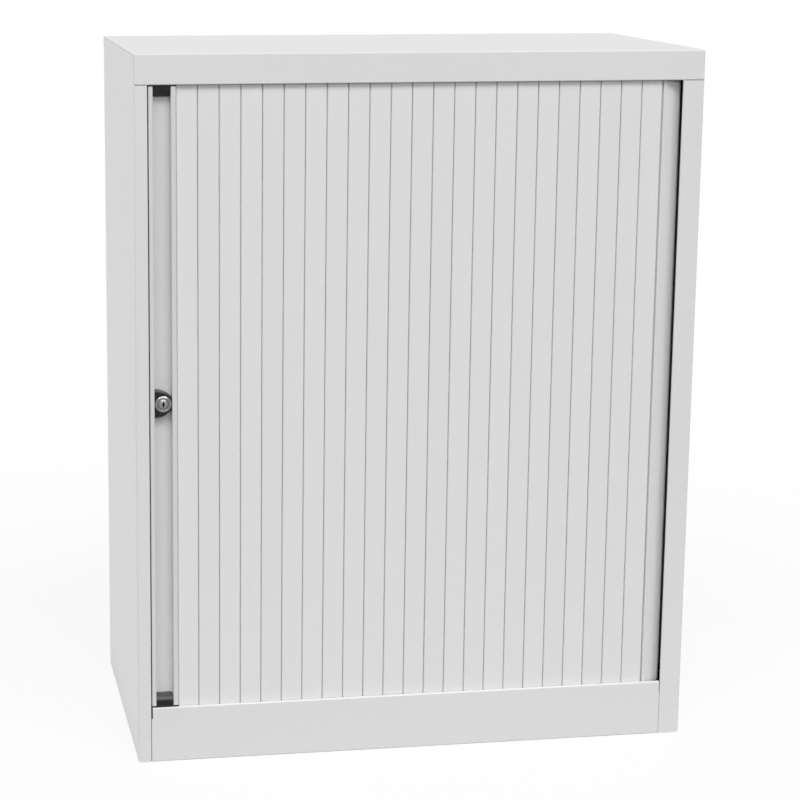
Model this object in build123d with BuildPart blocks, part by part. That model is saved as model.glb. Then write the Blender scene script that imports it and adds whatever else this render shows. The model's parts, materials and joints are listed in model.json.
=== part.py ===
from build123d import *
import os
from math import asin, cos, radians, sin

# Side-opening tambour cupboard: a folded-steel carcass and a curtain of upright slats that runs in two
# tracks, round the front right corner and into a pocket behind the side and the back.
# Millimetres. +X right, -Y front, +Z up, origin in the middle of the footprint on the floor.

# overall size
WIDTH = 800.0
DEPTH = 430.0
HEIGHT = 1000.0
LEFT = -WIDTH / 2
RIGHT = WIDTH / 2
FRONT = -DEPTH / 2
BACK = DEPTH / 2

# carcass sheets
SHEET = 1.0
BEND = 1.5
BEND_ROOM = 0.6
TOP_BEND = 2.5
SIDE_BEND = 2.5
LEFT_STILE = 19.0
RIGHT_STILE = 31.0
LEFT_RETURN = 21.0
RIGHT_RETURN = 2.0
FOOT_BEND = 5.0
FASCIA_HEIGHT = 41.5
FASCIA_BOTTOM = HEIGHT - FASCIA_HEIGHT
FASCIA_CORNER = 3.0
FASCIA_END = SHEET + 0.3
PLINTH_HEIGHT = 80.0
FLANGE = 15.0
SKIN_TOP = HEIGHT - SHEET
SKIN_BACK = BACK - SHEET
BACK_DROP = 15.0
JOINT_GAP = 0.5
STEP_GAP = 0.5
STEP_BACK = 3.0
LEFT_SLOT = 2.0
RIGHT_SLOT = 1.2
PLINTH_SLOT_HEIGHT = 16.0
PAN_FLANGE_FRONT = -190.0
PAN_FLANGE_RIGHT = 300.0
PAN_FLANGE_LOW = 55.0
HEAD_FLANGE_TOP = SKIN_TOP - 10.0

# curtain of slats
PITCH = 29.7
SLAT_COUNT = 23
SLAT_DEPTH = 8.0
SLAT_FACE_Y = FRONT + 6.0
SLAT_WEB = 2.2
SEAM_HALF = 0.38
SEAM_BEVEL = 1.0
PIVOT_IN = 3.2
PIVOT_DEPTH = 5.0
BEAD_R = 1.5
SOCKET_R = 1.9
SOCKET_OUTER_R = 2.9
NECK = 1.0
MOUTH_LOW = 205.0
MOUTH_MID = 150.0
MOUTH_HIGH = 112.0
LEG_LEFT = 27.0
LEG_WIDTH = 1.4
CURTAIN_LEFT = -342.0
CURTAIN_RIGHT = CURTAIN_LEFT + PITCH * SLAT_COUNT

# track
TRACK_DEPTH = 9.0
TRACK_FLOOR = 1.5
TRACK_WALL = 1.2
GROOVE = 10.4
SLAT_END_GAP = 0.5
TRACK_MID_Y = SLAT_FACE_Y + SLAT_DEPTH / 2
CORNER_R = 46.0
TRACK_MID_X = CURTAIN_RIGHT + CORNER_R
TRACK_BACK_Y = 190.0
TRACK_END_GAP = 0.2
TRACK_LEFT = LEFT + LEFT_STILE + TRACK_END_GAP
TRACK_BACK_END = -120.0
TRACK_TOP = PLINTH_HEIGHT - SHEET
SLAT_BOTTOM = TRACK_TOP - TRACK_DEPTH + TRACK_FLOOR + SLAT_END_GAP
SLAT_TOP = FASCIA_BOTTOM + SHEET + TRACK_DEPTH - TRACK_FLOOR - SLAT_END_GAP

# inner liners, uprights and shelves
LINER_X = 373.0
LINER_FRONT_Y = -148.0
LINER_LIP = 13.0
BACK_LINER_Y = 176.0
UPRIGHT_WIDTH = 30.0
UPRIGHT_DEPTH = 10.0
UPRIGHT_Y = 130.0
UPRIGHT_BOTTOM = 85.0
UPRIGHT_TOP = 950.0
SLOT_PITCH = 25.0
SLOT_COUNT = 33
SLOT_WIDTH = 4.0
SLOT_HEIGHT = 14.0
SHELF_LEFT = -386.0
SHELF_RIGHT = 360.0
SHELF_FRONT = -165.0
SHELF_REAR = 172.0
SHELF_THICK = 25.0
SHELF_HEM = 12.0
SHELF_SLOTS = {"shelf_lower": 12, "shelf_upper": 23}
CLIP_SHEET = 1.5
CLIP_HEIGHT = 34.0
CLIP_WIDTH = 18.0
CLIP_LEDGE = 14.0
CLIP_SLOT_GAP = 1.0
SCREW_R = 2.0
SCREW_HEAD_R = 4.0
SCREW_HEAD = 1.8
SCREW_TAPER = 20.0
RUN_GAP = 0.05

# levelling feet
FOOT_XS = (-355.0, 345.0)
FOOT_YS = (-178.0, 160.0)
FOOT_REST = 0.5
FOOT_PAD_R = 15.0
FOOT_PAD = 6.0
FOOT_PAD_EASE = 1.5
STUD_R = 4.0
STUD_TOP = 60.0
STUD_HOLE_R = 4.5
STUD_SLOT = 1.2
STUD_SLOT_DEPTH = 2.5
NUT_AF = 13.0
NUT_HEIGHT = 6.5
BRACKET_Z = 20.0
BRACKET_SHEET = 2.0
BRACKET_DEPTH = 30.0
BRACKET_RISE = 30.0
BRACKET_PAST = 18.0
ACCESS_R = 6.0

# handle profile, the leading edge of the curtain
HANDLE_LEFT = -379.4
HANDLE_RIGHT = CURTAIN_LEFT
HANDLE_FACE_Y = FRONT + 2.5
HANDLE_REAR_Y = -196.0
HANDLE_SHEET = 1.2
RECESS_LEFT = -373.2
RECESS_RIGHT = -349.0
RECESS_Y = -198.0
RECESS_EASE = 1.3
HANDLE_BOTTOM = 82.4
HANDLE_TOP = 956.5
CAP_END_GAP = 0.4
CAP_FLANGE_LOW = PLINTH_HEIGHT + CAP_END_GAP
CAP_FLANGE_HIGH = FASCIA_BOTTOM - CAP_END_GAP
CAP_BLOCK_LOW = 98.2
CAP_BLOCK_HIGH = 941.7
CAP_NOSE = 11.5
CAP_CORNER = 2.5
CAP_ROUND = 1.0
CAP_FACE_Y = -211.0
TONGUE_DEPTH = 7.0
TONGUE_END = 2.0

# lock
LOCK_X = -361.1
LOCK_Z = 519.5
RING_R = 11.7
RING_FRONT_Y = -213.2
RING_BACK_Y = -210.4
RING_CHAMFER = 1.0
BARREL_R = 9.0
BARREL_END_Y = -191.0
BORE_R = 7.25
PLUG_R = 7.2
PLUG_FRONT_Y = -212.7
PLUG_END_Y = -190.0
KEYWAY_WIDTH = 1.7
KEYWAY_HEIGHT = 8.6
KEYWAY_DEPTH = 9.0
CAM_SCREW_HOLE = 8.0
HOUSING_HALF = 19.5
HOUSING_MID_HALF = 17.5
HOUSING_END_HALF = 9.3
HOUSING_ROUND = 3.0
HOUSING_LEFT = -372.9
HOUSING_RIGHT = -349.3
LOCK_NUT_R = 12.5
LOCK_NUT = 4.0
CAM_SHEET = 2.0
CAM_HUB_R = 9.0
CAM_ARM = 8.0
HOOK_IN_R = 25.5
HOOK_OUT_R = 31.0
HOOK_ARM_AT = 110.0
HOOK_TIP_AT = 75.0
KEEPER_PIN_R = 1.5
KEEPER_PIN_OUT = 22.0
KEEPER_PIN_END_Y = -193.0
KEEPER_HEAD_R = 2.5
KEEPER_HEAD = 1.0
KEEPER_Y = -182.0
KEEPER_SHEET = 1.5
KEEPER_HALF = 20.0

BUFFER_R = 4.0
BUFFER_THICK = 1.2
BUFFER_ZS = (200.0, 800.0)
BUFFER_Y = -204.0

LOW = (Align.MIN, Align.MIN, Align.MIN)


def block(low, high):
    """A box between two corners."""
    size = [b - a for a, b in zip(low, high)]
    return Pos(*low) * Box(*size, align=LOW, mode=Mode.PRIVATE)


def folded(plane, points, side, sheet=SHEET, bend=BEND):
    """Section of a sheet folded along points, with its thickness on one side of them."""
    with BuildSketch(plane) as section:
        with BuildLine():
            FilletPolyline(*points, radius=bend)
            offset(amount=sheet, side=side)
        make_face()
    return section.sketch


def ribbon(low, high, plane):
    """The curtain's path as a flat ribbon, from low to high to the right of its middle line."""
    with BuildSketch(plane) as path:
        with BuildLine():
            outer = FilletPolyline(
                (TRACK_LEFT, TRACK_MID_Y - high),
                (TRACK_MID_X + high, TRACK_MID_Y - high),
                (TRACK_MID_X + high, TRACK_BACK_Y + high),
                (TRACK_BACK_END, TRACK_BACK_Y + high),
                radius=CORNER_R + high,
            )
            inner = FilletPolyline(
                (TRACK_LEFT, TRACK_MID_Y - low),
                (TRACK_MID_X + low, TRACK_MID_Y - low),
                (TRACK_MID_X + low, TRACK_BACK_Y + low),
                (TRACK_BACK_END, TRACK_BACK_Y + low),
                radius=CORNER_R + low,
            )
            Line(outer @ 0, inner @ 0)
            Line(outer @ 1, inner @ 1)
        make_face()
    return path.sketch


def inside_track(plane):
    """Outline of a pan that fills the carcass inside the curtain's path."""
    edge = GROOVE / 2
    with BuildSketch(plane) as pan:
        with BuildLine():
            run = FilletPolyline(
                (LEFT + SHEET, TRACK_MID_Y + edge),
                (TRACK_MID_X - edge, TRACK_MID_Y + edge),
                (TRACK_MID_X - edge, TRACK_BACK_Y - edge),
                (LEFT + SHEET, TRACK_BACK_Y - edge),
                radius=CORNER_R - edge,
            )
            Line(run @ 1, run @ 0)
        make_face()
        # notch round the left stile's return
        with Locations((LEFT + SHEET, TRACK_MID_Y + edge)):
            Rectangle(
                LEFT_STILE - SHEET + JOINT_GAP,
                2 * (FRONT + LEFT_RETURN + JOINT_GAP - TRACK_MID_Y - edge),
                align=(Align.MIN, Align.CENTER),
                mode=Mode.SUBTRACT,
            )
    return pan.sketch


def rounded_block(low, high, upright_r, foot_r, top_r):
    """A box whose left-hand edges are rounded: the upright ones, the lowest and the highest."""
    width, depth, height = (b - a for a, b in zip(low, high))
    with BuildPart() as solid:
        with BuildSketch(Plane.XY.offset(low[2])) as plan:
            with Locations((low[0], low[1])):
                Rectangle(width, depth, align=(Align.MIN, Align.MIN))
            fillet(plan.vertices().group_by(Axis.X)[0], radius=upright_r)
        extrude(amount=height)
        with BuildSketch(Plane.XZ.offset(-low[1])) as elevation:
            with Locations((low[0], low[2])):
                Rectangle(width, height, align=(Align.MIN, Align.MIN))
            corners = elevation.vertices().group_by(Axis.X)[0].sort_by(Axis.Y)
            fillet(corners[0], radius=foot_r)
            corners = elevation.vertices().group_by(Axis.X)[0].sort_by(Axis.Y)
            fillet(corners[-1], radius=top_r)
        extrude(amount=-depth, mode=Mode.INTERSECT)
    return solid.part


def side_sheet(stile, stile_return):
    """A side panel, made at the left: a tray with flanges all round, whose front flange is the stile."""
    inner = LEFT + stile
    rim = inner - 2 * BEND
    with BuildPart() as sheet:
        outline = ((LEFT, FRONT, 0), (rim, SKIN_BACK, SKIN_TOP))
        add(rounded_block(*outline, SIDE_BEND, FOOT_BEND, TOP_BEND))
        hollow = (
            (LEFT + SHEET, FRONT + SHEET, SHEET),
            (inner, SKIN_BACK - SHEET, SKIN_TOP - SHEET),
        )
        add(
            rounded_block(*hollow, SIDE_BEND - SHEET, FOOT_BEND - SHEET, TOP_BEND - SHEET),
            mode=Mode.SUBTRACT,
        )
        stile_fold = ((rim - 1, FRONT), (inner, FRONT), (inner, FRONT + stile_return))
        extrude(folded(Plane.XY, stile_fold, Side.LEFT), amount=FASCIA_BOTTOM)
        # above the stile the front edge steps back behind the fascia, which lies flush with the stile;
        # only the outer skin runs on beside the fascia's end
        add(
            block(
                (LEFT + SHEET, FRONT - 1, FASCIA_BOTTOM - STEP_GAP),
                (inner + 1, FRONT + SHEET, HEIGHT),
            ),
            mode=Mode.SUBTRACT,
        )
        add(
            block(
                (LEFT + SHEET, FRONT + STEP_BACK, FASCIA_BOTTOM - FASCIA_CORNER),
                (rim, FRONT + STEP_BACK + SHEET, SKIN_TOP - TOP_BEND / 2),
            )
        )
        # room for the inside of the top panel's bends
        for y in (FRONT + SHEET, SKIN_BACK):
            add(
                block(
                    (LEFT + SHEET, y - BEND_ROOM, SKIN_TOP - BEND_ROOM),
                    (inner + 1, y + BEND_ROOM, HEIGHT),
                ),
                mode=Mode.SUBTRACT,
            )
    return sheet.part


def slat_section(web_left=SEAM_HALF):
    """One slat's section from its seam: x along the curtain, y from its face inwards."""
    pivot = (PIVOT_IN, PIVOT_DEPTH)
    bead = (PITCH + PIVOT_IN, PIVOT_DEPTH)
    reach = 3 * SOCKET_OUTER_R
    with BuildSketch() as section:
        with Locations((web_left, 0)):
            Rectangle(PITCH - SEAM_HALF - web_left, SLAT_WEB, align=(Align.MIN, Align.MIN))
        chamfer(section.vertices().group_by(Axis.Y)[0], length=SEAM_BEVEL)
        with Locations(pivot):
            Circle(SOCKET_OUTER_R)
        with BuildLine(mode=Mode.PRIVATE) as mouth:
            Polyline(
                pivot,
                (
                    pivot[0] + reach * cos(radians(MOUTH_HIGH)),
                    pivot[1] + reach * sin(radians(MOUTH_HIGH)),
                ),
                (pivot[0] - reach, pivot[1] + reach * sin(radians(MOUTH_MID))),
                (
                    pivot[0] + reach * cos(radians(MOUTH_LOW)),
                    pivot[1] + reach * sin(radians(MOUTH_LOW)),
                ),
                close=True,
            )
        make_face(mouth.edges(), mode=Mode.SUBTRACT)
        with Locations(pivot):
            Circle(SOCKET_R, mode=Mode.SUBTRACT)
        with Locations((LEG_LEFT, SLAT_WEB / 2)):
            Rectangle(LEG_WIDTH, PIVOT_DEPTH + NECK / 2 - SLAT_WEB / 2, align=(Align.MIN, Align.MIN))
        with Locations((LEG_LEFT, PIVOT_DEPTH - NECK / 2)):
            Rectangle(bead[0] - LEG_LEFT, NECK, align=(Align.MIN, Align.MIN))
        with Locations(bead):
            Circle(BEAD_R)
    return section.sketch


os.makedirs("parts", exist_ok=True)

# --- carcass -------------------------------------------------------------------------------------

with BuildPart() as left_side:
    add(side_sheet(LEFT_STILE, LEFT_RETURN))
left_side.part.label = "left_side"
export_step(left_side.part, "parts/left_side.step")

with BuildPart() as right_side:
    add(side_sheet(RIGHT_STILE, RIGHT_RETURN))
    mirror(about=Plane.YZ, mode=Mode.REPLACE)
right_side.part.label = "right_side"
export_step(right_side.part, "parts/right_side.step")

top_fold = (
    (BACK, HEIGHT - BACK_DROP),
    (BACK, HEIGHT),
    (FRONT, HEIGHT),
    (FRONT, FASCIA_BOTTOM),
    (TRACK_MID_Y - GROOVE / 2, FASCIA_BOTTOM),
)
with BuildPart() as top_panel:
    extrude(folded(Plane.YZ.offset(LEFT), top_fold, Side.LEFT), amount=WIDTH)
    for x, inward in ((LEFT + FASCIA_END, 1), (RIGHT - FASCIA_END, -1)):
        # the fascia ends beside the sides' skins, and its lower corners are rounded
        add(
            block(
                (min(x, x - 2 * inward * FASCIA_END), FRONT - 1, FASCIA_BOTTOM - 1),
                (max(x, x - 2 * inward * FASCIA_END), FRONT + BEND, HEIGHT + 1),
            ),
            mode=Mode.SUBTRACT,
        )
        with BuildSketch(Plane.XZ.offset(-FRONT)):
            with BuildLine():
                Line((x, FASCIA_BOTTOM), (x + inward * FASCIA_CORNER, FASCIA_BOTTOM))
                RadiusArc(
                    (x + inward * FASCIA_CORNER, FASCIA_BOTTOM),
                    (x, FASCIA_BOTTOM + FASCIA_CORNER),
                    FASCIA_CORNER * inward,
                )
                Line((x, FASCIA_BOTTOM + FASCIA_CORNER), (x, FASCIA_BOTTOM))
            make_face()
        extrude(amount=-BEND * 2, mode=Mode.SUBTRACT)
    # its hem stops short of the stiles
    for low_x, high_x in (
        (LEFT - 1, LEFT + LEFT_STILE - 2 * BEND + JOINT_GAP),
        (RIGHT - RIGHT_STILE + 2 * BEND - JOINT_GAP, RIGHT + 1),
    ):
        add(
            block(
                (low_x, FRONT + SHEET, FASCIA_BOTTOM - 1),
                (high_x, TRACK_MID_Y, FASCIA_BOTTOM + 2 * BEND),
            ),
            mode=Mode.SUBTRACT,
        )
top_panel.part.label = "top_panel"
export_step(top_panel.part, "parts/top_panel.step")

with BuildPart() as back_panel:
    add(
        block(
            (LEFT + FOOT_BEND, SKIN_BACK, FOOT_BEND),
            (RIGHT - FOOT_BEND, BACK, HEIGHT - BACK_DROP - JOINT_GAP),
        )
    )
back_panel.part.label = "back_panel"
export_step(back_panel.part, "parts/back_panel.step")

with BuildPart() as plinth:
    left_end = LEFT + LEFT_STILE + JOINT_GAP
    right_end = RIGHT - RIGHT_STILE - JOINT_GAP
    plinth_fold = (
        (FRONT + FLANGE, 0),
        (FRONT, 0),
        (FRONT, PLINTH_HEIGHT),
        (TRACK_MID_Y - GROOVE / 2, PLINTH_HEIGHT),
    )
    extrude(
        folded(Plane.YZ.offset(left_end), plinth_fold, Side.RIGHT),
        amount=right_end - left_end,
    )
    slot_low = PLINTH_HEIGHT - PLINTH_SLOT_HEIGHT
    for x, width in ((left_end, LEFT_SLOT), (right_end, RIGHT_SLOT)):
        slot = width - JOINT_GAP
        add(
            block(
                (x - slot, FRONT - 1, slot_low),
                (x + slot, FRONT + FLANGE, PLINTH_HEIGHT + 1),
            ),
            mode=Mode.SUBTRACT,
        )
plinth.part.label = "plinth"
export_step(plinth.part, "parts/plinth.step")

with BuildPart() as base_panel:
    extrude(inside_track(Plane.XY.offset(TRACK_TOP)), amount=SHEET)
    pan_rear = TRACK_BACK_Y - GROOVE / 2
    add(
        block(
            (LEFT + SHEET, PAN_FLANGE_FRONT, PAN_FLANGE_LOW),
            (LEFT + 2 * SHEET, pan_rear, TRACK_TOP + SHEET / 2),
        )
    )
    add(
        block(
            (LEFT + SHEET, pan_rear - SHEET - TRACK_WALL, PAN_FLANGE_LOW),
            (PAN_FLANGE_RIGHT, pan_rear - TRACK_WALL, TRACK_TOP + SHEET / 2),
        )
    )
    # holes over the levelling feet, for a screwdriver
    with Locations([(x, y, PLINTH_HEIGHT) for x in FOOT_XS for y in FOOT_YS]):
        Hole(ACCESS_R, depth=2 * SHEET)
base_panel.part.label = "base_panel"
export_step(base_panel.part, "parts/base_panel.step")

with BuildPart() as head_panel:
    extrude(inside_track(Plane.XY.offset(FASCIA_BOTTOM)), amount=SHEET)
    add(
        block(
            (LEFT + SHEET, PAN_FLANGE_FRONT, FASCIA_BOTTOM + SHEET / 2),
            (LEFT + 2 * SHEET, TRACK_BACK_Y - GROOVE / 2, HEAD_FLANGE_TOP),
        )
    )
head_panel.part.label = "head_panel"
export_step(head_panel.part, "parts/head_panel.step")

with BuildPart() as right_liner:
    liner_fold = (
        (LINER_X - LINER_LIP, LINER_FRONT_Y),
        (LINER_X, LINER_FRONT_Y),
        (LINER_X, BACK_LINER_Y),
        (LINER_X - FLANGE, BACK_LINER_Y),
    )
    extrude(
        folded(Plane.XY.offset(PLINTH_HEIGHT), liner_fold, Side.LEFT),
        amount=FASCIA_BOTTOM - PLINTH_HEIGHT,
    )
right_liner.part.label = "right_liner"
export_step(right_liner.part, "parts/right_liner.step")

with BuildPart() as back_liner:
    add(
        block(
            (LEFT + SHEET, BACK_LINER_Y, PLINTH_HEIGHT),
            (LINER_X, BACK_LINER_Y + SHEET, FASCIA_BOTTOM),
        )
    )
back_liner.part.label = "back_liner"
export_step(back_liner.part, "parts/back_liner.step")

# --- tracks --------------------------------------------------------------------------------------

groove_half = GROOVE / 2
wall_half = groove_half + TRACK_WALL

with BuildPart() as bottom_track:
    extrude(ribbon(-wall_half, wall_half, Plane.XY.offset(TRACK_TOP - TRACK_DEPTH)), amount=TRACK_DEPTH)
    extrude(
        ribbon(-groove_half, groove_half, Plane.XY.offset(TRACK_TOP - TRACK_DEPTH + TRACK_FLOOR)),
        amount=TRACK_DEPTH,
        mode=Mode.SUBTRACT,
    )
bottom_track.part.label = "bottom_track"
export_step(bottom_track.part, "parts/bottom_track.step")

with BuildPart() as top_track:
    extrude(ribbon(-wall_half, wall_half, Plane.XY.offset(FASCIA_BOTTOM + SHEET)), amount=TRACK_DEPTH)
    extrude(
        ribbon(-groove_half, groove_half, Plane.XY.offset(FASCIA_BOTTOM)),
        amount=TRACK_DEPTH + SHEET - TRACK_FLOOR,
        mode=Mode.SUBTRACT,
    )
top_track.part.label = "top_track"
export_step(top_track.part, "parts/top_track.step")

# --- uprights, shelves and their clips ------------------------------------------------------------

slot_mid = (UPRIGHT_BOTTOM + UPRIGHT_TOP) / 2
slot_first = slot_mid - SLOT_PITCH * (SLOT_COUNT - 1) / 2
screw_zs = (slot_first + SLOT_PITCH / 2, slot_first + SLOT_PITCH * (SLOT_COUNT - 1.5))
walls = {"left": (LEFT + SHEET, 1), "right": (LINER_X - SHEET, -1)}
rows = {"front": -UPRIGHT_Y, "rear": UPRIGHT_Y}

for wall, (wall_x, inward) in walls.items():
    for row, y in rows.items():
        web_x = wall_x + inward * UPRIGHT_DEPTH
        channel = (
            (wall_x, y - UPRIGHT_WIDTH / 2),
            (web_x, y - UPRIGHT_WIDTH / 2),
            (web_x, y + UPRIGHT_WIDTH / 2),
            (wall_x, y + UPRIGHT_WIDTH / 2),
        )
        with BuildPart() as upright:
            extrude(
                folded(
                    Plane.XY.offset(UPRIGHT_BOTTOM), channel, Side.LEFT if inward > 0 else Side.RIGHT
                ),
                amount=UPRIGHT_TOP - UPRIGHT_BOTTOM,
            )
            with BuildSketch(Plane.YZ.offset(web_x)):
                with Locations((y, slot_mid)):
                    with GridLocations(SLOT_PITCH, SLOT_PITCH, 1, SLOT_COUNT):
                        Rectangle(SLOT_WIDTH, SLOT_HEIGHT)
                with Locations([(y, z) for z in screw_zs]):
                    Circle(SCREW_R + RUN_GAP)
            extrude(amount=2 * SHEET, both=True, mode=Mode.SUBTRACT)
        upright.part.label = f"upright_{row}_{wall}"
        export_step(upright.part, f"parts/upright_{row}_{wall}.step")

with BuildPart() as upright_screws:
    for wall_x, inward in walls.values():
        web_x = wall_x + inward * UPRIGHT_DEPTH
        for y in rows.values():
            for z in screw_zs:
                with BuildSketch(Plane(origin=(web_x, y, z), z_dir=(inward, 0, 0))):
                    Circle(SCREW_HEAD_R)
                extrude(amount=SCREW_HEAD, taper=SCREW_TAPER)
                with BuildSketch(Plane(origin=(web_x, y, z), z_dir=(inward, 0, 0))):
                    Circle(SCREW_R)
                extrude(amount=-UPRIGHT_DEPTH)
upright_screws.part.label = "upright_screws"
export_step(upright_screws.part, "parts/upright_screws.step")

for name, slot in SHELF_SLOTS.items():
    shelf_top = slot_first + SLOT_PITCH * slot
    shelf_low = shelf_top - SHELF_THICK
    shelf_fold = (
        (SHELF_FRONT + SHELF_HEM, shelf_low),
        (SHELF_FRONT, shelf_low),
        (SHELF_FRONT, shelf_top),
        (SHELF_REAR, shelf_top),
        (SHELF_REAR, shelf_low),
        (SHELF_REAR - SHELF_HEM, shelf_low),
    )
    with BuildPart() as shelf:
        extrude(
            folded(Plane.YZ.offset(SHELF_LEFT), shelf_fold, Side.RIGHT),
            amount=SHELF_RIGHT - SHELF_LEFT,
        )
        for x in (SHELF_LEFT, SHELF_RIGHT - SHEET):
            add(
                block(
                    (x, SHELF_FRONT + SHEET / 2, shelf_low + SHEET / 2),
                    (x + SHEET, SHELF_REAR - SHEET / 2, shelf_top - SHEET / 2),
                )
            )
    shelf.part.label = name
    export_step(shelf.part, f"parts/{name}.step")

with BuildPart() as shelf_clips:
    for slot in SHELF_SLOTS.values():
        ledge_z = slot_first + SLOT_PITCH * slot - SHELF_THICK
        for wall_x, inward in walls.values():
            web_x = wall_x + inward * UPRIGHT_DEPTH
            for y in rows.values():
                plate = sorted((web_x, web_x + inward * CLIP_SHEET))
                ledge = sorted((web_x, web_x + inward * CLIP_LEDGE))
                tongue = sorted((web_x - inward * 2 * CLIP_SHEET, web_x))
                half = CLIP_WIDTH / 2
                add(
                    block(
                        (plate[0], y - half, ledge_z - CLIP_HEIGHT),
                        (plate[1], y + half, ledge_z + SHELF_THICK / 2),
                    )
                )
                add(block((ledge[0], y - half, ledge_z - CLIP_SHEET), (ledge[1], y + half, ledge_z)))
                add(
                    block(
                        (tongue[0], y - CLIP_SHEET, ledge_z - SLOT_HEIGHT / 2 + CLIP_SLOT_GAP),
                        (tongue[1], y + CLIP_SHEET, ledge_z + SLOT_HEIGHT / 2 - CLIP_SLOT_GAP),
                    )
                )
shelf_clips.part.label = "shelf_clips"
export_step(shelf_clips.part, "parts/shelf_clips.step")

# --- levelling feet ------------------------------------------------------------------------------

with BuildPart() as foot_brackets:
    for x in FOOT_XS:
        wall = LEFT + SHEET if x < 0 else RIGHT - SHEET
        outward = -1 if x < 0 else 1
        inner = x - outward * BRACKET_PAST
        plate_x = sorted((wall, inner))
        rise_x = sorted((wall, wall - outward * BRACKET_SHEET))
        for y in FOOT_YS:
            half = BRACKET_DEPTH / 2
            add(
                block(
                    (plate_x[0], y - half, BRACKET_Z), (plate_x[1], y + half, BRACKET_Z + BRACKET_SHEET)
                )
            )
            add(
                block(
                    (rise_x[0], y - half, BRACKET_Z),
                    (rise_x[1], y + half, BRACKET_Z + BRACKET_RISE),
                )
            )
    with Locations([(x, y, BRACKET_Z + BRACKET_SHEET) for x in FOOT_XS for y in FOOT_YS]):
        Hole(STUD_HOLE_R, depth=BRACKET_SHEET)
foot_brackets.part.label = "foot_brackets"
export_step(foot_brackets.part, "parts/foot_brackets.step")

with BuildPart() as foot_nuts:
    with BuildSketch(Plane.XY.offset(BRACKET_Z + BRACKET_SHEET)):
        with Locations([(x, y) for x in FOOT_XS for y in FOOT_YS]):
            RegularPolygon(NUT_AF / 2, 6, major_radius=False)
            Circle(STUD_R + RUN_GAP, mode=Mode.SUBTRACT)
    extrude(amount=NUT_HEIGHT)
foot_nuts.part.label = "foot_nuts"
export_step(foot_nuts.part, "parts/foot_nuts.step")

for x, across in zip(FOOT_XS, ("left", "right")):
    for y, along in zip(FOOT_YS, ("front", "rear")):
        with BuildPart() as foot:
            with BuildSketch(Plane.XY.offset(FOOT_REST)):
                with Locations((x, y)):
                    Circle(FOOT_PAD_R)
            extrude(amount=FOOT_PAD)
            chamfer(foot.edges().group_by(Axis.Z)[-1], length=FOOT_PAD_EASE)
            with BuildSketch(Plane.XY.offset(FOOT_REST + FOOT_PAD)):
                with Locations((x, y)):
                    RegularPolygon(NUT_AF / 2, 6, major_radius=False)
            extrude(amount=NUT_HEIGHT)
            with BuildSketch(Plane.XY.offset(FOOT_REST + FOOT_PAD)):
                with Locations((x, y)):
                    Circle(STUD_R)
            extrude(amount=STUD_TOP - FOOT_REST - FOOT_PAD)
            with BuildSketch(Plane.XY.offset(STUD_TOP)):
                with Locations((x, y)):
                    Rectangle(2 * STUD_R + 1, STUD_SLOT)
            extrude(amount=-STUD_SLOT_DEPTH, mode=Mode.SUBTRACT)
        foot.part.label = f"levelling_foot_{along}_{across}"
        export_step(foot.part, f"parts/levelling_foot_{along}_{across}.step")

# --- lock keeper and buffers on the left stile -----------------------------------------------------

with BuildPart() as lock_keeper:
    pin_x = LOCK_X - KEEPER_PIN_OUT
    add(
        block(
            (LEFT + SHEET, KEEPER_Y, LOCK_Z - KEEPER_HALF),
            (pin_x + 2 * KEEPER_PIN_R, KEEPER_Y + KEEPER_SHEET, LOCK_Z + KEEPER_HALF),
        )
    )
    add(
        block(
            (LEFT + SHEET, KEEPER_Y, LOCK_Z - KEEPER_HALF),
            (LEFT + SHEET + KEEPER_SHEET, KEEPER_Y + KEEPER_HALF, LOCK_Z + KEEPER_HALF),
        )
    )
    # the pin is riveted through the plate, with a collar before it and a head behind it
    keeper_face = Plane(origin=(pin_x, KEEPER_Y, LOCK_Z), x_dir=(1, 0, 0), z_dir=(0, -1, 0))
    behind = KEEPER_SHEET + RUN_GAP
    with BuildSketch(keeper_face):
        Circle(KEEPER_PIN_R + RUN_GAP)
    extrude(amount=-KEEPER_SHEET, mode=Mode.SUBTRACT)
    with BuildSketch(keeper_face.offset(RUN_GAP)):
        Circle(KEEPER_HEAD_R)
    extrude(amount=KEEPER_HEAD)
    with BuildSketch(keeper_face.offset(-behind)):
        Circle(KEEPER_HEAD_R)
    extrude(amount=-KEEPER_HEAD)
    with BuildSketch(keeper_face.offset(-behind)):
        Circle(KEEPER_PIN_R)
    extrude(amount=KEEPER_Y - KEEPER_PIN_END_Y + behind)
lock_keeper.part.label = "lock_keeper"
export_step(lock_keeper.part, "parts/lock_keeper.step")

with BuildPart() as door_buffers:
    for z in BUFFER_ZS:
        with BuildSketch(Plane(origin=(LEFT + LEFT_STILE, BUFFER_Y, z), z_dir=(1, 0, 0))):
            Circle(BUFFER_R)
        extrude(amount=BUFFER_THICK, taper=SCREW_TAPER)
door_buffers.part.label = "door_buffers"
export_step(door_buffers.part, "parts/door_buffers.step")

# --- handle profile and its caps --------------------------------------------------------------------

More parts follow.
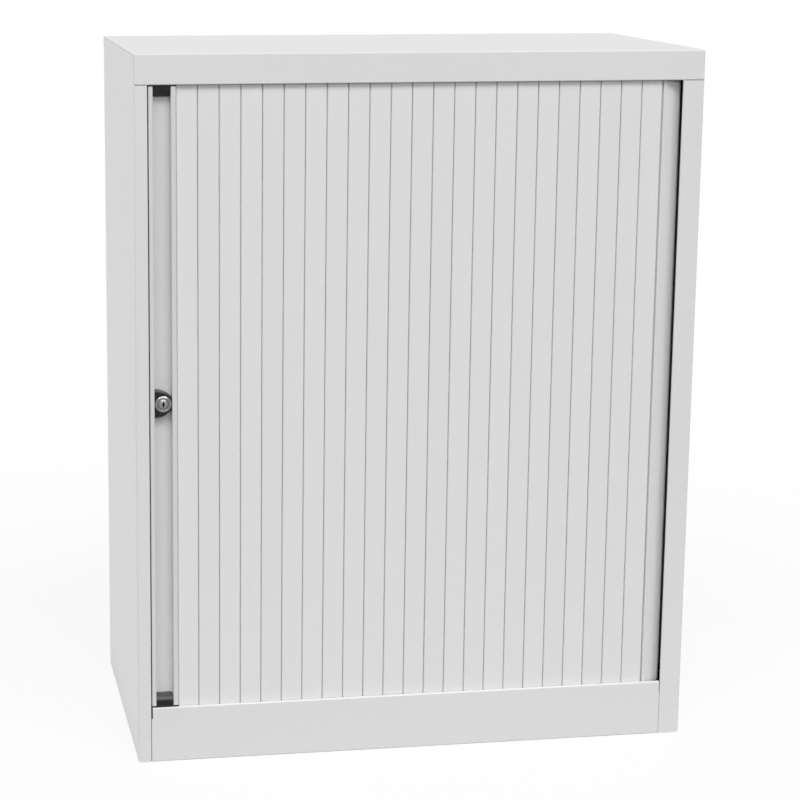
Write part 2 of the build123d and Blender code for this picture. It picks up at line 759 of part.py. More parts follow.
handle_fold = (
    (HANDLE_LEFT, HANDLE_REAR_Y),
    (HANDLE_LEFT, HANDLE_FACE_Y),
    (RECESS_LEFT, HANDLE_FACE_Y),
    (RECESS_LEFT, RECESS_Y),
    (RECESS_RIGHT, RECESS_Y),
    (RECESS_RIGHT, HANDLE_FACE_Y),
    (HANDLE_RIGHT, HANDLE_FACE_Y),
    (HANDLE_RIGHT, SLAT_FACE_Y + PIVOT_DEPTH + NECK),
)
with BuildPart() as handle_profile:
    extrude(
        folded(Plane.XY.offset(HANDLE_BOTTOM), handle_fold, Side.LEFT, sheet=HANDLE_SHEET),
        amount=HANDLE_TOP - HANDLE_BOTTOM,
    )
    with BuildSketch(Plane.XY.offset(HANDLE_BOTTOM)):
        with Locations((HANDLE_RIGHT - HANDLE_SHEET / 2, SLAT_FACE_Y + PIVOT_DEPTH)):
            Rectangle(PIVOT_IN + HANDLE_SHEET / 2, NECK, align=(Align.MIN, Align.CENTER))
        with Locations((HANDLE_RIGHT + PIVOT_IN, SLAT_FACE_Y + PIVOT_DEPTH)):
            Circle(BEAD_R)
    extrude(amount=HANDLE_TOP - HANDLE_BOTTOM)
    with BuildSketch(Plane.XZ.offset(-RECESS_Y + 1)):
        with Locations((LOCK_X, LOCK_Z)):
            Circle(BARREL_R + RUN_GAP)
    extrude(amount=-HANDLE_SHEET - 2, mode=Mode.SUBTRACT)
handle_profile.part.label = "handle_profile"
export_step(handle_profile.part, "parts/handle_profile.step")


def handle_cap(flange_z, profile_z, block_z, tongue_z):
    """A moulded cap: a flange over the profile's end, a nose that curves back to the recess's floor and a
    tongue in the track."""
    low, high = sorted((block_z, profile_z))
    free_end = -1 if block_z > profile_z else 0
    middle = ((HOUSING_LEFT + HOUSING_RIGHT) / 2, (CAP_FACE_Y + RECESS_Y) / 2, (low + high) / 2)
    width, depth = HOUSING_RIGHT - HOUSING_LEFT, RECESS_Y - CAP_FACE_Y
    with BuildPart() as cap:
        with BuildSketch(Plane.XY.offset(low)) as plan:
            with Locations((middle[0], middle[1])):
                Rectangle(width, depth)
            fillet(plan.vertices().group_by(Axis.Y)[0], radius=CAP_ROUND)
            chamfer(plan.vertices().group_by(Axis.Y)[-1], length=RECESS_EASE)
        extrude(amount=high - low)
        with BuildSketch(Plane.YZ.offset(HOUSING_LEFT)) as section:
            with Locations((middle[1], middle[2])):
                Rectangle(depth, high - low)
            fillet(section.vertices().group_by(Axis.Y)[free_end].sort_by(Axis.X)[0], radius=CAP_NOSE)
        extrude(amount=width, mode=Mode.INTERSECT)
        with BuildSketch(Plane.XZ.offset(-RECESS_Y)) as face:
            with Locations((middle[0], middle[2])):
                Rectangle(width, high - low)
            fillet(face.vertices().group_by(Axis.Y)[free_end], radius=CAP_CORNER)
        extrude(amount=depth, mode=Mode.INTERSECT)
        low, high = sorted((profile_z, flange_z))
        add(block((HANDLE_LEFT, HANDLE_FACE_Y, low), (HANDLE_RIGHT, HANDLE_REAR_Y, high)))
        low, high = sorted((flange_z, tongue_z))
        add(
            block(
                (HANDLE_LEFT + TONGUE_END, TRACK_MID_Y - TONGUE_DEPTH / 2, low),
                (HANDLE_RIGHT - TONGUE_END, TRACK_MID_Y + TONGUE_DEPTH / 2, high),
            )
        )
    return cap.part


with BuildPart() as handle_bottom_cap:
    add(handle_cap(CAP_FLANGE_LOW, HANDLE_BOTTOM, CAP_BLOCK_LOW, SLAT_BOTTOM + SLAT_END_GAP))
handle_bottom_cap.part.label = "handle_bottom_cap"
export_step(handle_bottom_cap.part, "parts/handle_bottom_cap.step")

with BuildPart() as handle_top_cap:
    add(handle_cap(CAP_FLANGE_HIGH, HANDLE_TOP, CAP_BLOCK_HIGH, SLAT_TOP - SLAT_END_GAP))
handle_top_cap.part.label = "handle_top_cap"
export_step(handle_top_cap.part, "parts/handle_top_cap.step")

# --- lock -------------------------------------------------------------------------------------------

with BuildPart() as lock_housing:
    housing_mid = (HOUSING_LEFT + HOUSING_RIGHT) / 2
    with BuildSketch(Plane.XZ.offset(-RECESS_Y)):
        with BuildLine():
            for up in (1, -1):
                ThreePointArc(
                    (HOUSING_LEFT, LOCK_Z + up * HOUSING_HALF),
                    (housing_mid, LOCK_Z + up * HOUSING_MID_HALF),
                    (HOUSING_RIGHT, LOCK_Z + up * HOUSING_END_HALF),
                )
            for x, half in ((HOUSING_LEFT, HOUSING_HALF), (HOUSING_RIGHT, HOUSING_END_HALF)):
                Line((x, LOCK_Z - half), (x, LOCK_Z + half))
        make_face()
    extrude(amount=RECESS_Y - RING_BACK_Y)
    curved = lock_housing.faces().sort_by(Axis.Y)[0].edges().filter_by(GeomType.CIRCLE)
    fillet(curved, radius=HOUSING_ROUND)
    chamfer(lock_housing.faces().sort_by(Axis.Y)[-1].edges(), length=RECESS_EASE)
    with BuildSketch(Plane.XZ.offset(-RECESS_Y)):
        with Locations((LOCK_X, LOCK_Z)):
            Circle(BARREL_R + RUN_GAP)
    extrude(amount=RECESS_Y - RING_BACK_Y, mode=Mode.SUBTRACT)
lock_housing.part.label = "lock_housing"
export_step(lock_housing.part, "parts/lock_housing.step")

lock_face = Plane(origin=(LOCK_X, 0, LOCK_Z), x_dir=(1, 0, 0), z_dir=(0, -1, 0))

with BuildPart() as lock_barrel:
    with BuildSketch(lock_face.offset(-RING_BACK_Y)):
        Circle(RING_R)
    extrude(amount=RING_BACK_Y - RING_FRONT_Y)
    chamfer(lock_barrel.edges().group_by(Axis.Y)[0], length=RING_CHAMFER)
    with BuildSketch(lock_face.offset(-RING_BACK_Y)):
        Circle(BARREL_R)
    extrude(amount=RING_BACK_Y - BARREL_END_Y)
    with BuildSketch(lock_face.offset(-BARREL_END_Y)):
        Circle(BORE_R)
    extrude(amount=BARREL_END_Y - RING_FRONT_Y, mode=Mode.SUBTRACT)
lock_barrel.part.label = "lock_barrel"
export_step(lock_barrel.part, "parts/lock_barrel.step")

with BuildPart() as lock_nut:
    with BuildSketch(lock_face.offset(-RECESS_Y - HANDLE_SHEET)):
        RegularPolygon(LOCK_NUT_R, 6)
        Circle(BARREL_R + RUN_GAP, mode=Mode.SUBTRACT)
    extrude(amount=-LOCK_NUT)
lock_nut.part.label = "lock_nut"
export_step(lock_nut.part, "parts/lock_nut.step")

with BuildPart() as lock_plug:
    with BuildSketch(lock_face.offset(-PLUG_END_Y)):
        Circle(PLUG_R)
    extrude(amount=PLUG_END_Y - PLUG_FRONT_Y)
    with BuildSketch(lock_face.offset(-PLUG_FRONT_Y)):
        Rectangle(KEYWAY_WIDTH, KEYWAY_HEIGHT)
    extrude(amount=-KEYWAY_DEPTH, mode=Mode.SUBTRACT)
    with BuildSketch(lock_face.offset(-PLUG_END_Y)):
        Circle(SCREW_R + RUN_GAP)
    extrude(amount=CAM_SCREW_HOLE, mode=Mode.SUBTRACT)
lock_plug.part.label = "lock_plug"
export_step(lock_plug.part, "parts/lock_plug.step")

with BuildPart() as lock_cam:
    arm_at = radians(180 + HOOK_ARM_AT)
    with BuildSketch(lock_face.offset(-PLUG_END_Y)):
        Circle(CAM_HUB_R)
        with BuildLine():
            inner_arc = CenterArc(
                (0, 0), HOOK_IN_R, 180 + HOOK_TIP_AT, HOOK_ARM_AT - HOOK_TIP_AT
            )
            outer_arc = CenterArc(
                (0, 0), HOOK_OUT_R, 180 + HOOK_TIP_AT, HOOK_ARM_AT - HOOK_TIP_AT
            )
            Line(inner_arc @ 0, outer_arc @ 0)
            Line(inner_arc @ 1, outer_arc @ 1)
        make_face()
        with BuildLine():
            across = (-sin(arm_at) * CAM_ARM / 2, cos(arm_at) * CAM_ARM / 2)
            far = (cos(arm_at) * HOOK_OUT_R, sin(arm_at) * HOOK_OUT_R)
            Polyline(
                (across[0], across[1]),
                (far[0] + across[0], far[1] + across[1]),
                (far[0] - across[0], far[1] - across[1]),
                (-across[0], -across[1]),
                close=True,
            )
        make_face()
        Circle(SCREW_R + RUN_GAP, mode=Mode.SUBTRACT)
    extrude(amount=-CAM_SHEET)
lock_cam.part.label = "lock_cam"
export_step(lock_cam.part, "parts/lock_cam.step")

with BuildPart() as cam_screw:
    with BuildSketch(lock_face.offset(-PLUG_END_Y - CAM_SHEET)):
        Circle(SCREW_HEAD_R)
    extrude(amount=-2 * SCREW_HEAD, taper=SCREW_TAPER)
    with BuildSketch(lock_face.offset(-PLUG_END_Y - CAM_SHEET)):
        Circle(SCREW_R)
    extrude(amount=CAM_SHEET + CAM_SCREW_HOLE - 1)
cam_screw.part.label = "cam_screw"
export_step(cam_screw.part, "parts/cam_screw.step")

# --- curtain ----------------------------------------------------------------------------------------

section = slat_section()
slat_length = SLAT_TOP - SLAT_BOTTOM

for number in range(SLAT_COUNT):
    with BuildPart() as slat:
        place = Plane(origin=(CURTAIN_LEFT + PITCH * number, SLAT_FACE_Y, SLAT_BOTTOM))
        extrude(place * section, amount=slat_length)
    slat.part.label = f"slat_{number + 1:02d}"
    export_step(slat.part, f"parts/slat_{number + 1:02d}.step")

with BuildPart() as curtain_tail:
    # the last slat's two pivots lie on the arc that the corner gives them
    pivot_arc = CORNER_R + SLAT_DEPTH / 2 - PIVOT_DEPTH
    turn = asin(PIVOT_IN / pivot_arc)
    heading = turn + asin(PITCH / 2 / pivot_arc)
    along, across = (cos(heading), sin(heading)), (-sin(heading), cos(heading))
    pivot = (CURTAIN_RIGHT + PIVOT_IN, TRACK_MID_Y + CORNER_R - pivot_arc * cos(turn))
    corner = [pivot[i] - along[i] * PIVOT_IN - across[i] * PIVOT_DEPTH for i in (0, 1)]
    place = Plane(origin=(*corner, SLAT_BOTTOM), x_dir=(*along, 0), z_dir=(0, 0, 1))
    extrude(place * section, amount=slat_length)
curtain_tail.part.label = "curtain_tail"
export_step(curtain_tail.part, "parts/curtain_tail.step")
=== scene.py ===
"""A low steel cupboard with a sliding slatted front: finishes, the lock's turned pieces, light and camera."""

import json
import math

import bmesh
import bpy
from mathutils import Matrix, Vector


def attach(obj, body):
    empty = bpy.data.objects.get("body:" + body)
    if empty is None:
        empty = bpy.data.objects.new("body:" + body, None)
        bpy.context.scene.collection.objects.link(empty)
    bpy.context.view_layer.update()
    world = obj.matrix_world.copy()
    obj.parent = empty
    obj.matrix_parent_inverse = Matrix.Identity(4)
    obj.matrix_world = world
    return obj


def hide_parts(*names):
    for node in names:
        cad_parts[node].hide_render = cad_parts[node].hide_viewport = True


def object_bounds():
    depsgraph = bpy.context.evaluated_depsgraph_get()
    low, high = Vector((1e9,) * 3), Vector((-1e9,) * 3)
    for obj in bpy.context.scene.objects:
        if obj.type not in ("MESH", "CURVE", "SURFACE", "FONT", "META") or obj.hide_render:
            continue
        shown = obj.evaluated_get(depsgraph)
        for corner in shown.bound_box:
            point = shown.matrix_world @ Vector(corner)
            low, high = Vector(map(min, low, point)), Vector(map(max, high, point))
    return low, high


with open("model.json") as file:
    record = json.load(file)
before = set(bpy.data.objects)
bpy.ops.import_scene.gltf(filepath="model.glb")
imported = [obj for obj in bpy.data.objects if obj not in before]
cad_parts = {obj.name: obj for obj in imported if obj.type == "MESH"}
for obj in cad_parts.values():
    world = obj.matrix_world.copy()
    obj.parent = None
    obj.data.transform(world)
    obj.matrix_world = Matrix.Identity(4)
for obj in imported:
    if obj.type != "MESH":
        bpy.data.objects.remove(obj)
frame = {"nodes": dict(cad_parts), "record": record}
nodes = frame["nodes"]
cad_low, cad_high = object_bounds()


# --- node trees ------------------------------------------------------------------------------------

WHITE = (1.0, 1.0, 1.0, 1.0)
# the span that holds nearly all values of a noise
NOISE_SPAN = (0.3, 0.7)
SEEN_RAYS = ("Is Camera Ray", "Is Glossy Ray", "Is Transmission Ray")


class Value:
    """An output socket that takes part in sums."""

    def __init__(self, tree, socket):
        self.tree = tree
        self.socket = socket

    def __add__(self, other):
        return self.tree.maths("ADD", self, other)

    def __radd__(self, other):
        return self.tree.maths("ADD", other, self)

    def __sub__(self, other):
        return self.tree.maths("SUBTRACT", self, other)

    def __rsub__(self, other):
        return self.tree.maths("SUBTRACT", other, self)

    def __mul__(self, other):
        return self.tree.maths("MULTIPLY", self, other)

    def __rmul__(self, other):
        return self.tree.maths("MULTIPLY", other, self)

    def __truediv__(self, other):
        return self.tree.maths("DIVIDE", self, other)

    def __rtruediv__(self, other):
        return self.tree.maths("DIVIDE", other, self)

    def __lt__(self, other):
        return self.tree.maths("LESS_THAN", self, other)

    def __gt__(self, other):
        return self.tree.maths("GREATER_THAN", self, other)


class Tree:
    """The node tree of a material or of the world, emptied before its first node."""

    def __init__(self, owner, output):
        owner.use_nodes = True
        self.graph = owner.node_tree
        self.graph.nodes.clear()
        self.output = self.graph.nodes.new(output)

    def node(self, kind, settings=None, sockets=None, out=0):
        """Adds a node: its settings first, then its sockets' values or links. Returns one output."""
        made = self.graph.nodes.new(kind)
        for key, value in (settings or {}).items():
            setattr(made, key, value)
        for key, value in (sockets or {}).items():
            self.feed(made, key, value)
        return Value(self, made.outputs[out])

    def feed(self, node, key, value):
        """Links a value to a node's socket, or writes a plain number, colour or place into it."""
        if isinstance(value, Value):
            self.graph.links.new(value.socket, node.inputs[key])
        else:
            node.inputs[key].default_value = value

    def maths(self, operation, *terms):
        """Works out one step of a sum."""
        return self.node("ShaderNodeMath", {"operation": operation}, dict(enumerate(terms)))

    def show(self, surface):
        """Makes a shader's output the one that shows."""
        self.feed(self.output, "Surface", surface)

    def seen(self):
        """1 for rays that look, straight or by way of metal or glass, and 0 for those that bring light."""
        straight, mirrored, through = (self.node("ShaderNodeLightPath", out=ray) for ray in SEEN_RAYS)
        return self.maths("MAXIMUM", self.maths("MAXIMUM", straight, mirrored), through)


class Finish(Tree):
    """One procedural finish, built on Object coordinates."""

    def __init__(self, name, colour, roughness, metallic=0.0, specular=0.5):
        self.material = bpy.data.materials.new(name)
        super().__init__(self.material, "ShaderNodeOutputMaterial")
        self.colour = colour
        self.surface = self.node(
            "ShaderNodeBsdfPrincipled",
            None,
            {
                "Base Color": (*colour, 1.0),
                "Roughness": roughness,
                "Metallic": metallic,
                "Specular IOR Level": specular,
            },
        )
        self.show(self.surface)
        self.place = self.node("ShaderNodeTexCoord", out="Object")

    def set(self, name, value):
        """Feeds one of the surface's properties."""
        self.feed(self.surface.socket.node, name, value)

    def ramp(self, value, low, high, to_low=0.0, to_high=1.0):
        """Maps low..high of a value to to_low..to_high, and holds it there outside."""
        return self.node(
            "ShaderNodeMapRange",
            {"clamp": True},
            {"Value": value, "From Min": low, "From Max": high, "To Min": to_low, "To Max": to_high},
        )

    def noise(self, scale, detail=2.0, stretch=None):
        """Smooth noise, scale waves to the metre. A small share in stretch draws it out along that axis."""
        place = self.place
        if stretch:
            place = self.node("ShaderNodeMapping", None, {"Vector": place, "Scale": stretch})
        return self.node("ShaderNodeTexNoise", None, {"Vector": place, "Scale": scale, "Detail": detail})

    def axes(self):
        """The three coordinates of a point on the piece."""
        split = self.node("ShaderNodeSeparateXYZ", None, {0: self.place}).socket.node
        return [Value(self, socket) for socket in split.outputs]

    def blend(self, factor, first, second):
        """A colour between two colours."""
        return self.node("ShaderNodeMix", {"data_type": "RGBA"}, {0: factor, 6: first, 7: second}, out=2)

    def tint(self, factor, dark, light):
        """The finish's own colour, from dark times to light times as bright."""
        shades = [(*(channel * share for channel in self.colour), 1.0) for share in (dark, light)]
        return self.blend(factor, *shades)

    def relief(self, height, depth):
        """Raises the surface by height times depth, in metres."""
        return self.node("ShaderNodeBump", None, {"Height": height, "Distance": depth, "Strength": 1.0})


# --- finishes --------------------------------------------------------------------------------------

# the left edge of the curtain, and the distance from one slat to the next
CURTAIN_LEFT = -0.342
SLAT_PITCH = 0.0297

# how the lines of drawn and brushed pieces are stretched, x, y and z
ALONG_SLATS = (1.0, 1.0, 0.004)
ALONG_UPRIGHTS = (1.0, 1.0, 0.05)
ALONG_TRACKS = (0.15, 0.15, 1.0)

PEEL_DEPTH = 0.000035
DIE_LINE_DEPTH = 0.000012
ERODED_DEPTH = 0.00003
UPWARDS = (0.0, 0.0, 1.0)
# a dusty pale grey, which also stands for a painted highlight of the light from above on black plastic
DUST_AND_SHEEN = (0.09, 0.09, 0.09, 1.0)


def grey(level):
    """A neutral colour that shows as this level of 0 to 255, a touch green as pale office greys are."""
    linear = (level / 255) ** 2.2
    return (linear * 0.995, linear * 1.0, linear * 0.993)


def powder_coat(name, level, peel=1.0, roughness=0.42):
    """Baked powder paint: orange peel of about a millimetre, finer grain on it and broad drifts of tone."""
    paint = Finish(name, grey(level), roughness, specular=0.3)
    drift = paint.noise(3.1)
    dimples = paint.noise(620.0, detail=1.0)
    grain = paint.noise(2300.0, detail=1.0)
    paint.set("Base Color", paint.tint(paint.ramp(drift, *NOISE_SPAN), 0.988, 1.008))
    paint.set("Roughness", paint.ramp(grain + 0.5 * drift, 0.4, 1.1, roughness - 0.03, roughness + 0.05))
    paint.set("Normal", paint.relief(dimples + 0.25 * grain, PEEL_DEPTH * peel))
    return paint.material


def slat_plastic():
    """Extruded slats: fine die lines along their length and a slightly different tone on each."""
    plastic = Finish("slat_plastic", grey(223), 0.38, specular=0.3)
    x, _, _ = plastic.axes()
    slat = plastic.maths("FLOOR", (x - CURTAIN_LEFT) / SLAT_PITCH)
    tone = plastic.node("ShaderNodeTexWhiteNoise", {"noise_dimensions": "1D"}, {"W": slat}, out="Value")
    lines = plastic.noise(900.0, stretch=ALONG_SLATS)
    grain = plastic.noise(2600.0, detail=1.0)
    plastic.set("Base Color", plastic.tint(tone * 0.7 + lines * 0.3, 0.985, 1.012))
    plastic.set("Roughness", plastic.ramp(lines, *NOISE_SPAN, 0.34, 0.43))
    plastic.set("Normal", plastic.relief(lines + 0.2 * grain, DIE_LINE_DEPTH))
    return plastic.material


def black_moulding():
    """Injection-moulded black plastic with a fine eroded texture, dusty and with a painted highlight of the
    light from above where it faces up.
    """
    plastic = Finish("black_moulding", (0.005, 0.005, 0.0055), 0.24, specular=0.27)
    texture = plastic.noise(1900.0, detail=3.0)
    drift = plastic.noise(60.0)
    facing = plastic.node("ShaderNodeTexCoord", out="Normal")
    up = plastic.node(
        "ShaderNodeVectorMath",
        {"operation": "DOT_PRODUCT"},
        {0: facing, 1: UPWARDS},
        out="Value",
    )
    # paler where the surface faces up: partly a dusty bloom, partly a painted highlight of the light from
    # above
    dust_and_sheen = plastic.ramp(up, 0.15, 1.0) * plastic.ramp(texture, *NOISE_SPAN, 0.8, 1.0)
    plastic.set("Base Color", plastic.blend(dust_and_sheen, plastic.tint(drift, 0.8, 1.3), DUST_AND_SHEEN))
    plastic.set("Roughness", plastic.ramp(texture, *NOISE_SPAN, 0.19, 0.29))
    plastic.set("Normal", plastic.relief(texture, ERODED_DEPTH))
    return plastic.material


def plated(name, colour, roughness, stretch=None, depth=0.00001):
    """Plated steel with faint brushing of the given depth."""
    metal = Finish(name, colour, roughness, metallic=1.0)
    brushing = metal.noise(1500.0, stretch=stretch)
    cloud = metal.noise(45.0, detail=3.0)
    sheen = brushing * 0.6 + cloud * 0.4
    metal.set("Base Color", metal.tint(cloud, 0.86, 1.06))
    metal.set("Roughness", metal.ramp(sheen, *NOISE_SPAN, roughness - 0.06, roughness + 0.1))
    metal.set("Normal", metal.relief(brushing, depth))
    return metal.material


def track_plastic():
    """Smooth extruded black track, rubbed paler along its run."""
    plastic = Finish("track_plastic", (0.012, 0.012, 0.0125), 0.36, specular=0.25)
    rub = plastic.noise(240.0, detail=3.0, stretch=ALONG_TRACKS)
    plastic.set("Base Color", plastic.tint(rub, 0.7, 1.8))
    plastic.set("Roughness", plastic.ramp(rub, *NOISE_SPAN, 0.26, 0.44))
    return plastic.material


def rubber():
    """Soft black rubber with a pale bloom."""
    soft = Finish("buffer_rubber", (0.02, 0.02, 0.02), 0.75)
    bloom = soft.noise(700.0, detail=3.0)
    soft.set("Base Color", soft.tint(bloom, 0.7, 1.6))
    soft.set("Normal", soft.relief(bloom, ERODED_DEPTH))
    return soft.material


carcass_paint = powder_coat("carcass_paint", 220)
zinc = plated("zinc_plate", (0.60, 0.61, 0.63), 0.34, stretch=ALONG_UPRIGHTS)
# the lock's nickel is given dark base colours: a painted reflection of dark surroundings, as the surroundings
# show white in metal
ring_nickel = plated("bright_nickel", (0.21, 0.21, 0.21), 0.25, depth=0.000002)
plug_nickel = plated("plug_nickel", (0.24, 0.24, 0.24), 0.30, depth=0.000012)
# near-black metal for the keyway's walls and floor: painted shade of the deep slot
keyway_painted_shade = plated("keyway_painted_shade", (0.012, 0.012, 0.012), 0.5)

FINISHES = {
    "carcass_paint": carcass_paint,
    "shelf_paint": carcass_paint,
    "handle_paint": powder_coat("handle_paint", 211, peel=0.6, roughness=0.36),
    "upright_zinc": zinc,
    "fixings": zinc,
    "track": track_plastic(),
    "slat": slat_plastic(),
    "black_moulding": black_moulding(),
    "lock_chrome": ring_nickel,
    "lock_plug": plug_nickel,
    "buffer": rubber(),
    "foot": zinc,
}
for part in frame["record"]["subparts"]:
    mesh = nodes[part["node"]].data
    mesh.materials.clear()
    mesh.materials.append(FINISHES[part["material_slot"]])


# --- lock: ring and plug ---------------------------------------------------------------------------

LOCK_AXIS = Vector((-0.3611, 0.0, 0.5195))
TURN_STEPS = 96
ROUND_STEPS = 8
CREASE = math.radians(35.0)

# radii from the axis, and depths along y, of the barrel and of the ring on its front end
BORE_RADIUS = 0.00725
BARREL_RADIUS = 0.009
BARREL_END = -0.191
RING_RADIUS = 0.0117
RING_BACK = -0.2104
RING_RIM = -0.2115
LIP_RADIUS = 0.0086
LIP_FRONT = -0.2132
SEAT_RADIUS = 0.0083
SEAT_FRONT = -0.2121
RING_SECTION = (
    (BORE_RADIUS, BARREL_END),
    (BARREL_RADIUS, BARREL_END),
    (BARREL_RADIUS, RING_BACK),
    (RING_RADIUS, RING_BACK),
    (RING_RADIUS, RING_RIM),
    (LIP_RADIUS, LIP_FRONT),
    (SEAT_RADIUS, SEAT_FRONT),
    (BORE_RADIUS, SEAT_FRONT),
)
# rounds by corner of the section: the ring's rim and its lip
RING_ROUNDS = {4: 0.0006, 5: 0.0010}

PLUG_RADIUS = 0.0072
PLUG_FLAT_RADIUS = 0.0040
PLUG_FRONT = -0.2130
PLUG_RIM = -0.2112
PLUG_END = -0.190
PLUG_SECTION = (
    (0.0, PLUG_FRONT),
    (PLUG_FLAT_RADIUS, PLUG_FRONT),
    (PLUG_RADIUS, PLUG_RIM),
    (PLUG_RADIUS, PLUG_END),
    (0.0, PLUG_END),
)
PLUG_ROUNDS = {1: 0.0024}

KEYWAY_DEPTH = 0.009
# half the width and half the height of the slot, and of the wider mouth in its middle
KEYWAY_SLOTS = ((0.00085, 0.0043), (0.0015, 0.0016))


def turned(section, rounds, closed):
    """A shape turned about the lock's axis. Its section is given as radius and y, its rounds by corner."""
    shape = bmesh.new()
    corners = [shape.verts.new(LOCK_AXIS + Vector((radius, y, 0.0))) for radius, y in section]
    for here, there in zip(corners, corners[1:]):
        shape.edges.new((here, there))
    if closed:
        shape.edges.new((corners[-1], corners[0]))
    for corner, size in rounds.items():
        bmesh.ops.bevel(
            shape,
            geom=[corners[corner]],
            offset=size,
            affect="VERTICES",
            segments=ROUND_STEPS,
            profile=0.5,
            material=-1,
        )
    bmesh.ops.spin(
        shape,
        geom=shape.verts[:] + shape.edges[:],
        cent=LOCK_AXIS,
        axis=(0.0, 1.0, 0.0),
        angle=math.tau,
        steps=TURN_STEPS,
        use_merge=True,
    )
    bmesh.ops.remove_doubles(shape, verts=shape.verts[:], dist=1e-6)
    bmesh.ops.recalc_face_normals(shape, faces=shape.faces[:])
    return shape


def score_keyway(plug):
    """Cuts the outlines of the keyway's slots into the plug's faces."""
    for half_width, half_height in KEYWAY_SLOTS:
        for side in (-1.0, 1.0):
            for offset in (Vector((half_width, 0.0, 0.0)), Vector((0.0, 0.0, half_height))):
                bmesh.ops.bisect_plane(
                    plug,
                    geom=plug.verts[:] + plug.edges[:] + plug.faces[:],
                    dist=1e-7,
                    plane_co=LOCK_AXIS + side * offset,
                    plane_no=offset.normalized(),
                )
    plug.normal_update()


def in_keyway(face):
    """Whether a face of the plug's front lies inside the keyway."""
    away = face.calc_center_median() - LOCK_AXIS
    inside = any(abs(away.x) < wide and abs(away.z) < high for wide, high in KEYWAY_SLOTS)
    return inside and face.normal.y < 0


def sink_keyway(plug):
    """Sinks the faces inside the keyway, and gives its walls and floor the second finish, a near-black that
    paints the shade inside the slot.
    """
    keyway = [face for face in plug.faces if in_keyway(face)]
    sunk = bmesh.ops.extrude_face_region(plug, geom=keyway)["geom"]
    floor_verts = {item for item in sunk if isinstance(item, bmesh.types.BMVert)}
    bmesh.ops.translate(plug, verts=list(floor_verts), vec=(0.0, KEYWAY_DEPTH, 0.0))
    bmesh.ops.delete(plug, geom=keyway, context="FACES")
    bmesh.ops.recalc_face_normals(plug, faces=plug.faces[:])
    for face in plug.faces:
        if floor_verts.intersection(face.verts):
            face.material_index = 1


def finished(name, shape, materials, body, node):
    """Makes an object of the shape, which rides a body and stands for a CAD node."""
    for face in shape.faces:
        face.smooth = True
    for edge in shape.edges:
        edge.smooth = edge.calc_face_angle(math.pi) < CREASE
    mesh = bpy.data.meshes.new(name)
    shape.to_mesh(mesh)
    shape.free()
    for material in materials:
        mesh.materials.append(material)
    piece = bpy.data.objects.new(name, mesh)
    bpy.context.scene.collection.objects.link(piece)
    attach(piece, body)
    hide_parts(node)


ring = turned(RING_SECTION, RING_ROUNDS, closed=True)
finished("lock_ring_and_barrel", ring, [ring_nickel], "door_handle", "lock_barrel")

plug = turned(PLUG_SECTION, PLUG_ROUNDS, closed=False)
score_keyway(plug)
sink_keyway(plug)
finished("lock_plug_face", plug, [plug_nickel, keyway_painted_shade], "lock_core", "lock_plug")


# --- floor and surroundings ------------------------------------------------------------------------

FLOOR_RADIUS = 4.0
FLOOR_EDGES = 96
FLOOR_GREY = (0.3, 0.3, 0.3)
# how much brighter the floor looks than the light that it sends on, and its share of plain white
FLOOR_SEEN_AS = 2.7
FLOOR_GLOW = 0.88
# from the cupboard's outline in to where the floor beneath it is left dark
UNDER_EDGE = 0.004
FADE_START, FADE_END = 0.7, 1.9
ROOM_STRENGTH = 0.17


def stage_floor():
    """A pale floor that keeps the shadow and fades into the white surroundings."""
    shape = bmesh.new()
    bmesh.ops.create_circle(shape, cap_ends=True, segments=FLOOR_EDGES, radius=FLOOR_RADIUS)
    mesh = bpy.data.meshes.new("floor")
    shape.to_mesh(mesh)
    shape.free()
    floor = bpy.data.objects.new("floor", mesh)
    bpy.context.scene.collection.objects.link(floor)

    pale = Finish("floor_white", FLOOR_GREY, 0.9, specular=0.0)
    seen = pale.seen()
    pale.set("Base Color", pale.tint(seen, 1.0, FLOOR_SEEN_AS))
    x, y, _ = pale.axes()
    half_width, half_depth = (reach - UNDER_EDGE for reach in cad_high[:2])
    under = (pale.maths("ABSOLUTE", x) < half_width) * (pale.maths("ABSOLUTE", y) < half_depth)
    glow = pale.node("ShaderNodeEmission", None, {"Color": WHITE})
    share = seen * (1.0 - under) * FLOOR_GLOW
    lit = pale.node("ShaderNodeMixShader", None, {0: share, 1: pale.surface, 2: glow})
    clear = pale.node("ShaderNodeBsdfTransparent")
    radius = pale.node("ShaderNodeVectorMath", {"operation": "LENGTH"}, {0: pale.place}, out="Value")
    away = pale.ramp(radius, FADE_START, FADE_END)
    pale.show(pale.node("ShaderNodeMixShader", None, {0: away, 1: lit, 2: clear}))
    mesh.materials.append(pale.material)


def light_surroundings():
    """Surroundings that look white and light the object only faintly."""
    world = bpy.data.worlds.new("surroundings")
    bpy.context.scene.world = world
    sky = Tree(world, "ShaderNodeOutputWorld")
    room = sky.node("ShaderNodeBackground", None, {"Color": WHITE, "Strength": ROOM_STRENGTH})
    white = sky.node("ShaderNodeBackground", None, {"Color": WHITE, "Strength": 1.0})
    sky.show(sky.node("ShaderNodeMixShader", None, {0: sky.seen(), 1: room, 2: white}))


stage_floor()
light_surroundings()


# --- lamps -----------------------------------------------------------------------------------------

MIDDLE = (Vector(cad_low) + Vector(cad_high)) / 2
# how wide a far light looks, in degrees, and how strong it is
HIGH_SPREAD, HIGH_SIDE_STRENGTH, HIGH_MIDDLE_STRENGTH = 24.0, 1.10, 0.58
LOW_SPREAD, LOW_STRENGTH = 14.0, 1.52


def hang(name, data, place):
    """Hangs a lamp in its place, turned to the middle of the cupboard."""
    lamp = bpy.data.objects.new(name, data)
    bpy.context.scene.collection.objects.link(lamp)
    lamp.location = place
    lamp.rotation_euler = (MIDDLE - Vector(place)).to_track_quat("-Z", "Y").to_euler()


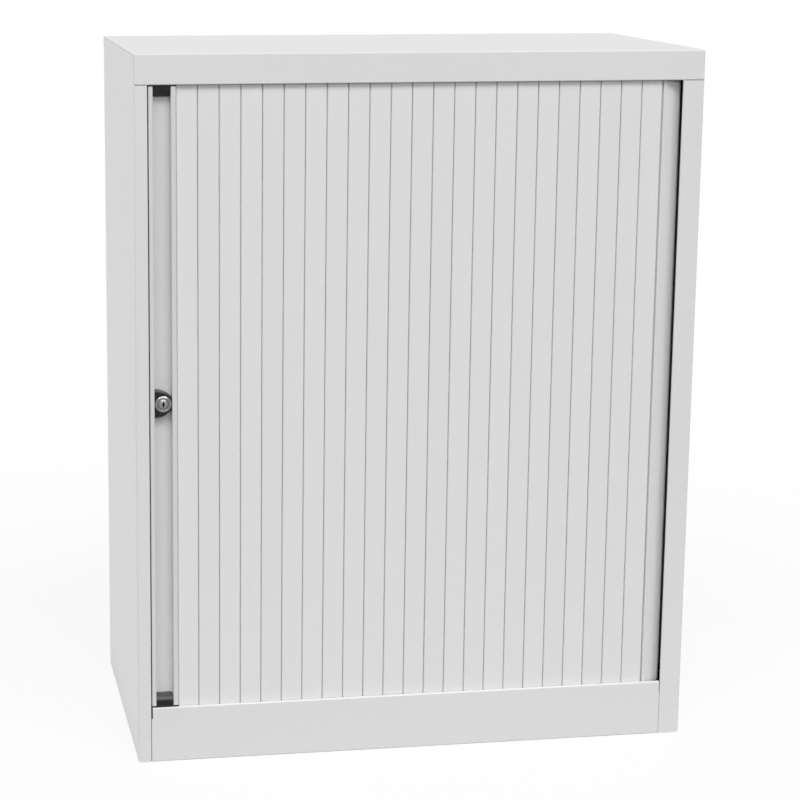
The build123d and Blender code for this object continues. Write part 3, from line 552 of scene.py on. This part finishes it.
def softbox(name, place, size, power):
    """A large soft lamp."""
    data = bpy.data.lights.new(name, "AREA")
    data.shape = "RECTANGLE"
    data.size, data.size_y = size
    data.energy = power
    hang(name, data, place)


def far_light(name, place, spread, strength):
    """A soft light so far off that it falls evenly over the whole height."""
    data = bpy.data.lights.new(name, "SUN")
    data.angle = math.radians(spread)
    data.energy = strength
    hang(name, data, place)


far_light("high_left_light", (-2.2, -3.0, 4.66), HIGH_SPREAD, HIGH_SIDE_STRENGTH)
far_light("high_middle_light", (0.0, -3.72, 4.66), HIGH_SPREAD, HIGH_MIDDLE_STRENGTH)
far_light("high_right_light", (2.2, -3.0, 4.66), HIGH_SPREAD, HIGH_SIDE_STRENGTH)
softbox("front_softbox", (0.3, -5.2, 2.6), size=(2.4, 1.8), power=70.0)
far_light("low_left_light", (-3.6, 1.9, 0.75), LOW_SPREAD, LOW_STRENGTH)
far_light("low_right_light", (3.6, 1.9, 0.75), LOW_SPREAD, LOW_STRENGTH)


# --- camera ----------------------------------------------------------------------------------------

CAMERA_PLACE = (-0.7073, -3.1985, 1.191)
CAMERA_YAW, CAMERA_PITCH, CAMERA_ROLL = -9.148, -11.248, 0.169
SENSOR_WIDTH = 36.0
FOCAL_LENGTH = 100.372
# the picture's side, and the lens's shift to the right and up, in pixels
PICTURE_SIDE = 800
SHIFT_RIGHT, SHIFT_UP = 140, -48

lens = bpy.data.cameras.new("camera")
lens.sensor_width = SENSOR_WIDTH
lens.lens = FOCAL_LENGTH
lens.shift_x = SHIFT_RIGHT / PICTURE_SIDE
lens.shift_y = SHIFT_UP / PICTURE_SIDE
camera = bpy.data.objects.new("camera", lens)
bpy.context.scene.collection.objects.link(camera)
camera.matrix_world = (
    Matrix.Translation(CAMERA_PLACE)
    @ Matrix.Rotation(math.radians(CAMERA_YAW), 4, "Z")
    @ Matrix.Rotation(math.radians(90.0 + CAMERA_PITCH), 4, "X")
    @ Matrix.Rotation(math.radians(CAMERA_ROLL), 4, "Z")
)
bpy.context.scene.camera = camera
bpy.context.scene.view_settings.view_transform = "Standard"
